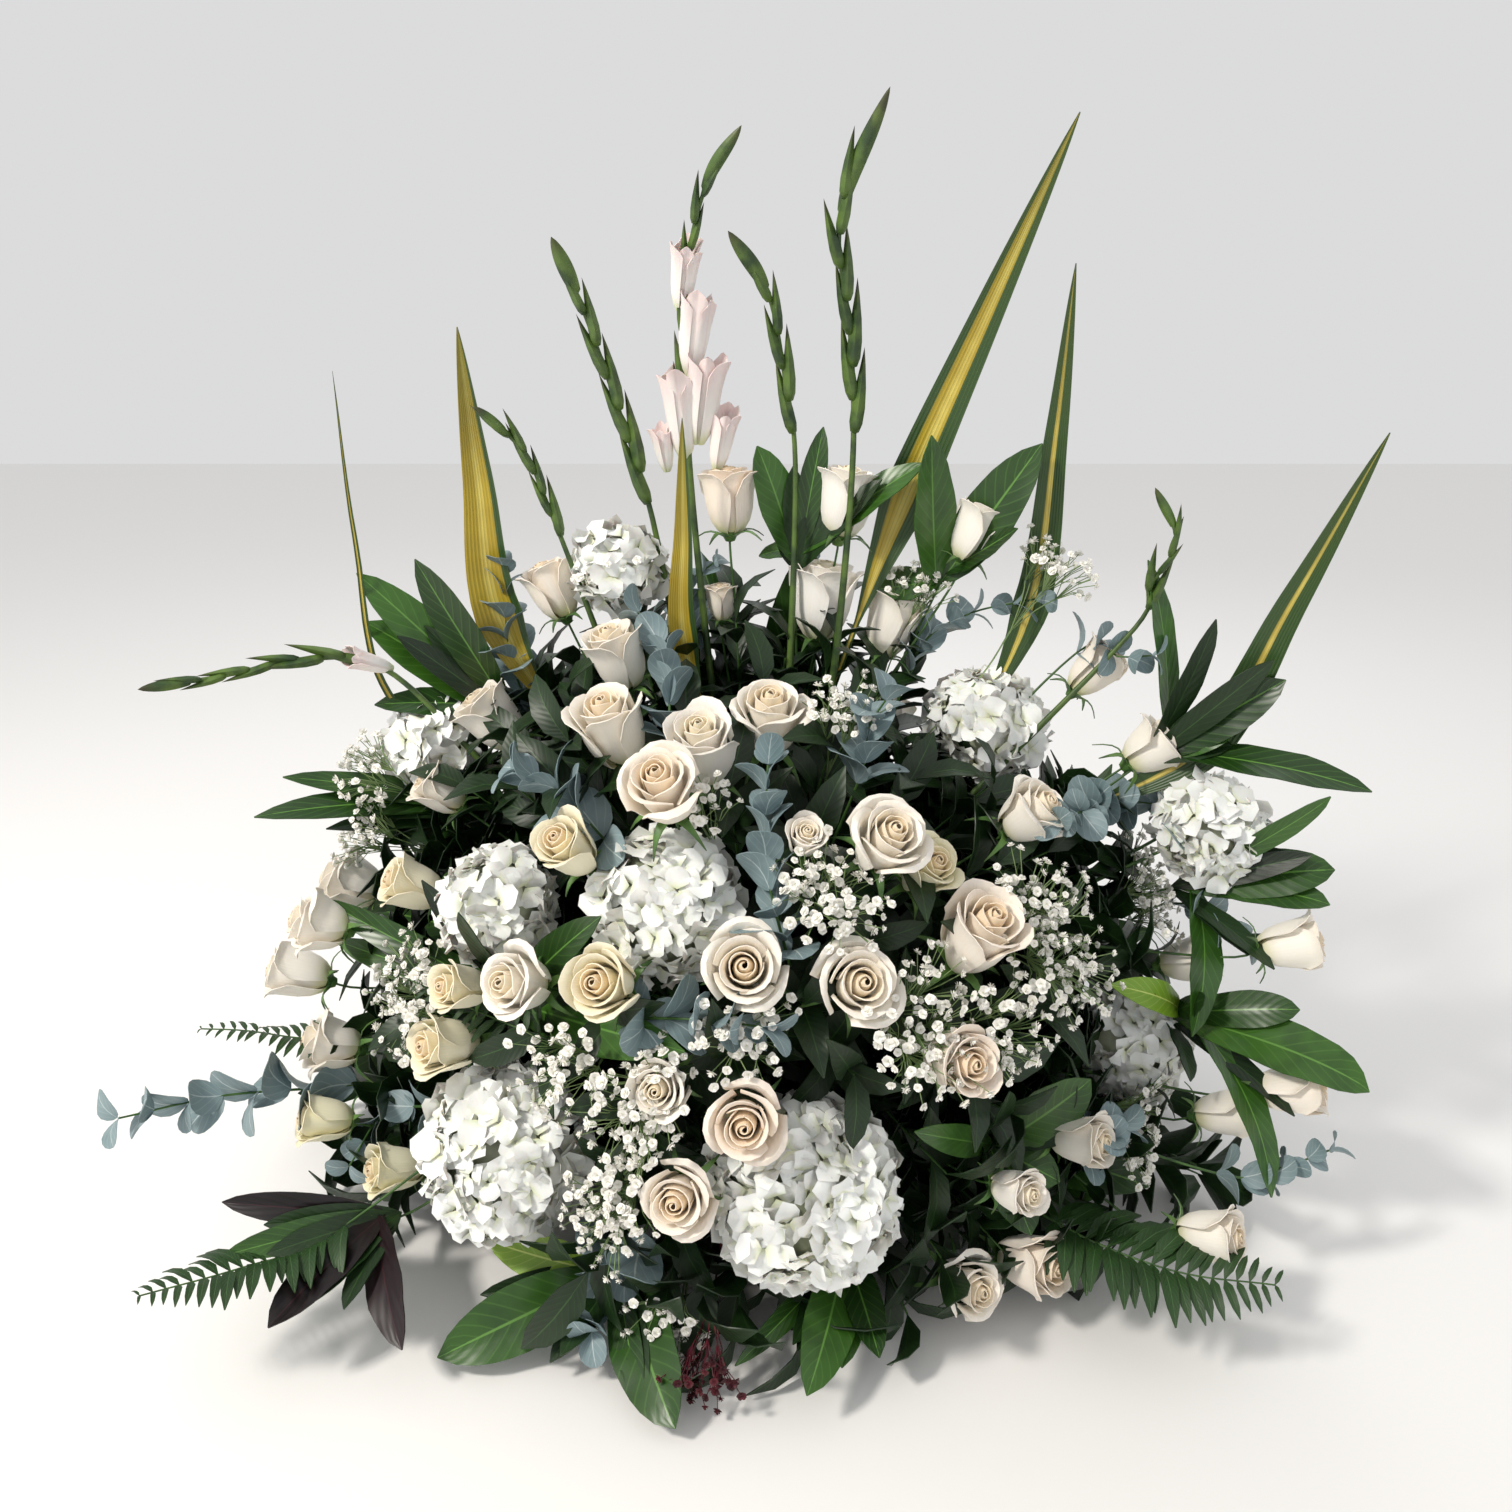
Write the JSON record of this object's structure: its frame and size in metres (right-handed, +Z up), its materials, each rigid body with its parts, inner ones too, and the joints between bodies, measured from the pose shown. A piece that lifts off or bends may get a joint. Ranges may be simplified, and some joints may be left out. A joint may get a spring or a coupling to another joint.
{
  "type": "funeral bouquet",
  "caption": "Large domed front-facing funeral arrangement of ivory roses, white hydrangea and gladioli with mixed foliage, in wet foam in a low round tray.",
  "frame": {"origin": "middle of the tray's flat underside, on the surface that the arrangement stands on", "axes": "+Z up, front of the flowers towards -Y, +X to the right seen from the front"},
  "size_m": [1.0773, 0.6509, 0.9878],
  "materials": {
    "tray": "satin",
    "foam": "matte",
    "rose_petals": "matte",
    "hydrangea_florets": "matte",
    "gladiolus_spike": "satin",
    "sword_leaf": "satin",
    "eucalyptus_leaf": "matte",
    "glossy_leaf": "gloss",
    "fern_leaf": "satin",
    "babys_breath_florets": "matte",
    "burgundy_florets": "matte"
  },
  "bodies": {
    "root": {"tray": "tray", "foam": "foam", "roses_01": "rose_petals", "roses_02": "rose_petals", "roses_03": "rose_petals", "roses_04": "rose_petals", "roses_05": "rose_petals", "roses_06": "rose_petals", "roses_07": "rose_petals", "roses_08": "rose_petals", "roses_09": "rose_petals", "roses_10": "rose_petals", "roses_11": "rose_petals", "roses_12": "rose_petals", "roses_13": "rose_petals", "roses_14": "rose_petals", "hydrangea_01": "hydrangea_florets", "hydrangea_02": "hydrangea_florets", "hydrangea_03": "hydrangea_florets", "hydrangea_04": "hydrangea_florets", "hydrangea_05": "hydrangea_florets", "hydrangea_06": "hydrangea_florets", "hydrangea_07": "hydrangea_florets", "hydrangea_08": "hydrangea_florets", "hydrangea_09": "hydrangea_florets", "hydrangea_10": "hydrangea_florets", "gladiolus_01": "gladiolus_spike", "gladiolus_02": "gladiolus_spike", "gladiolus_03": "gladiolus_spike", "gladiolus_04": "gladiolus_spike", "gladiolus_05": "gladiolus_spike", "gladiolus_06": "gladiolus_spike", "gladiolus_07": "gladiolus_spike", "sword_leaves_01": "sword_leaf", "sword_leaves_02": "sword_leaf", "sword_leaves_03": "sword_leaf", "eucalyptus_01": "eucalyptus_leaf", "eucalyptus_02": "eucalyptus_leaf", "eucalyptus_03": "eucalyptus_leaf", "eucalyptus_04": "eucalyptus_leaf", "eucalyptus_05": "eucalyptus_leaf", "eucalyptus_06": "eucalyptus_leaf", "eucalyptus_07": "eucalyptus_leaf", "eucalyptus_08": "eucalyptus_leaf", "eucalyptus_09": "eucalyptus_leaf", "leafy_shoots_01": "glossy_leaf", "leafy_shoots_02": "glossy_leaf", "leafy_shoots_03": "glossy_leaf", "leafy_shoots_04": "glossy_leaf", "leafy_shoots_05": "glossy_leaf", "leafy_shoots_06": "glossy_leaf", "leafy_shoots_07": "glossy_leaf", "fern_01": "fern_leaf", "fern_02": "fern_leaf", "babys_breath_01": "babys_breath_florets", "babys_breath_02": "babys_breath_florets", "babys_breath_03": "babys_breath_florets", "babys_breath_04": "babys_breath_florets", "babys_breath_05": "babys_breath_florets", "burgundy_sprig": "burgundy_florets"}
  },
  "joints": []
}
